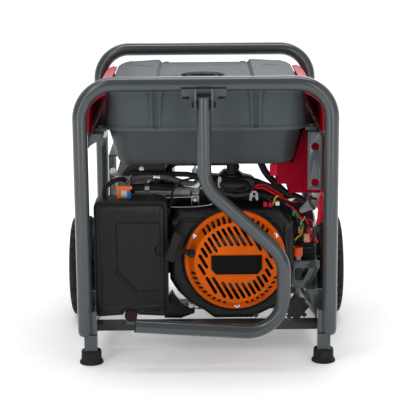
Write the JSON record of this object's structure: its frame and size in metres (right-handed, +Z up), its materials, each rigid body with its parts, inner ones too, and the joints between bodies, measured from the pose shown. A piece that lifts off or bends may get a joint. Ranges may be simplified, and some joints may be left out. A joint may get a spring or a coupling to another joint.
{
  "type": "portable generator",
  "caption": "Open-frame portable petrol generator on two wheels with a fuel tank on top, a recoil starter, a battery, an alternator and a fold-down pull handle.",
  "frame": {"origin": "bottom centre of the machine's box, on the floor between the feet and the wheels", "axes": "+X to the operator's right at the handle end, +Y from the handle end to the rear, +Z up"},
  "size_m": [0.656, 0.7312, 0.6361],
  "materials": {
    "frame_paint": "slate grey powder coat",
    "tank_paint": "grey paint",
    "bracket_paint": "grey paint",
    "red_panel": "red paint",
    "black_paint": "black paint",
    "orange_cover": "orange paint",
    "zinc_steel": "zinc plated",
    "muffler_steel": "heat-stained steel",
    "cast_alloy": "cast",
    "cast_iron": "cast and machined",
    "rotor_core": "laminated core with windings",
    "brass": "turned",
    "rubber": "moulded",
    "tyre": "ribbed tread",
    "black_plastic": "fine moulded texture",
    "battery_case": "moulded",
    "socket_plastic": "moulded",
    "rim_plastic": "moulded",
    "orange_knob": "moulded",
    "white_plastic": "moulded",
    "red_switch": "moulded",
    "filter_foam": "foam",
    "rope": "braided"
  },
  "bodies": {
    "frame": {"front_hoop": "frame_paint", "rear_hoop": "frame_paint", "cross_rails": "frame_paint", "frame_brackets": "frame_paint", "rubber_feet": "rubber", "wheel_brackets": "frame_paint", "axle_pins": "zinc_steel", "tank_rails": "frame_paint", "handle_bracket": "frame_paint", "rubber_mounts": "rubber", "frame_bolts": "zinc_steel", "side_panels": "red_panel", "tank_upper_shell": "tank_paint", "tank_lower_shell": "tank_paint", "fuel_valve": "brass", "fuel_hose": "rubber", "engine_block": "cast_alloy", "cylinder_head": "cast_alloy", "rocker_cover": "black_paint", "blower_housing": "black_paint", "recoil_cover": "orange_cover", "air_cleaner_base": "black_plastic", "air_cleaner_cover": "black_plastic", "air_filter": "filter_foam", "carburettor": "cast_alloy", "muffler": "muffler_steel", "muffler_guard": "black_paint", "starter_motor": "black_paint", "spark_plug": "black_plastic", "alternator_stator": "cast_alloy", "alternator_end_cover": "cast_alloy", "battery": "battery_case", "battery_tray": "bracket_paint", "panel_box": "red_panel", "panel_face": "red_panel", "outlets": "socket_plastic", "hour_meter": "socket_plastic", "wiring_harness": "black_plastic", "control_module": "black_plastic", "starter_rope": "rope"},
    "handle": {"fold_handle": "frame_paint"},
    "wheel_left": {"tyre_left": "tyre", "rim_left": "rim_plastic"},
    "wheel_right": {"tyre_right": "tyre", "rim_right": "rim_plastic"},
    "crank_train": {"crankshaft": "zinc_steel", "flywheel": "cast_iron", "alternator_rotor": "rotor_core"},
    "starter_pulley": {"recoil_pulley": "black_plastic"},
    "starter_grip": {"recoil_grip": "black_plastic"},
    "cap": {"fuel_cap": "black_plastic"},
    "valve_knob": {"fuel_valve_knob": "black_plastic"},
    "choke": {"choke_lever": "black_plastic"},
    "governor": {"governor_arm": "zinc_steel"},
    "oil_dipstick": {"dipstick": "orange_knob"},
    "cover_1": {"outlet_cover_1": "rubber"},
    "cover_2": {"outlet_cover_2": "rubber"},
    "breaker_button_1": {"breaker_1": "white_plastic"},
    "breaker_button_2": {"breaker_2": "white_plastic"},
    "switch_rocker": {"start_switch": "red_switch"}
  },
  "joints": [
    {"name": "handle_fold", "type": "hinge", "parent": "frame", "child": "handle", "pos_m": [-0.004, -0.3505, 0.584], "axis": [-1, 0, 0], "range_deg": [0, 100]},
    {"name": "wheel_left_spin", "type": "hinge", "parent": "frame", "child": "wheel_left", "pos_m": [-0.29, 0.0695, 0.122], "axis": [1, 0, 0], "continuous": true},
    {"name": "wheel_right_spin", "type": "hinge", "parent": "frame", "child": "wheel_right", "pos_m": [0.29, 0.0695, 0.122], "axis": [1, 0, 0], "continuous": true},
    {"name": "crank_spin", "type": "hinge", "parent": "frame", "child": "crank_train", "pos_m": [0.064, -0.0755, 0.2155], "axis": [0, 1, 0], "continuous": true},
    {"name": "pulley_spin", "type": "hinge", "parent": "frame", "child": "starter_pulley", "pos_m": [0.064, -0.2535, 0.2155], "axis": [0, 1, 0], "continuous": true},
    {"name": "starter_pull", "type": "slide", "parent": "frame", "child": "starter_grip", "axis": [-0.28, -0.96, 0], "range_m": [0, 0.6], "stiffness_N_per_m": 30, "deforming": ["starter_rope"]},
    {"name": "cap_turn", "type": "hinge", "parent": "frame", "child": "cap", "pos_m": [-0.006, -0.0005, 0.58], "axis": [0, 0, 1], "range_deg": [0, 90]},
    {"name": "valve_turn", "type": "hinge", "parent": "frame", "child": "valve_knob", "pos_m": [0.063, -0.1505, 0.384], "axis": [0, 0, 1], "range_deg": [0, 90]},
    {"name": "choke_turn", "type": "hinge", "parent": "frame", "child": "choke", "pos_m": [-0.178, -0.2065, 0.392], "axis": [0, 1, 0], "range_deg": [-10, 40]},
    {"name": "governor_swing", "type": "hinge", "parent": "frame", "child": "governor", "pos_m": [-0.025, -0.1805, 0.342], "axis": [0, 1, 0], "range_deg": [-12, 12]},
    {"name": "dipstick_pull", "type": "slide", "parent": "frame", "child": "oil_dipstick", "axis": [0, 0, 1], "range_m": [0, 0.1]},
    {"name": "cover_1_open", "type": "hinge", "parent": "frame", "child": "cover_1", "pos_m": [0.266, -0.1305, 0.446], "axis": [0, -1, 0], "range_deg": [0, 110]},
    {"name": "cover_2_open", "type": "hinge", "parent": "frame", "child": "cover_2", "pos_m": [0.266, -0.0485, 0.446], "axis": [0, -1, 0], "range_deg": [0, 110]},
    {"name": "breaker_1_push", "type": "slide", "parent": "frame", "child": "breaker_button_1", "axis": [-1, 0, 0], "range_m": [0, 0.003], "stiffness_N_per_m": 300},
    {"name": "breaker_2_push", "type": "slide", "parent": "frame", "child": "breaker_button_2", "axis": [-1, 0, 0], "range_m": [0, 0.003], "stiffness_N_per_m": 300},
    {"name": "switch_rock", "type": "hinge", "parent": "frame", "child": "switch_rocker", "pos_m": [0.258, -0.2405, 0.455], "axis": [0, 1, 0], "range_deg": [-8, 8]}
  ]
}
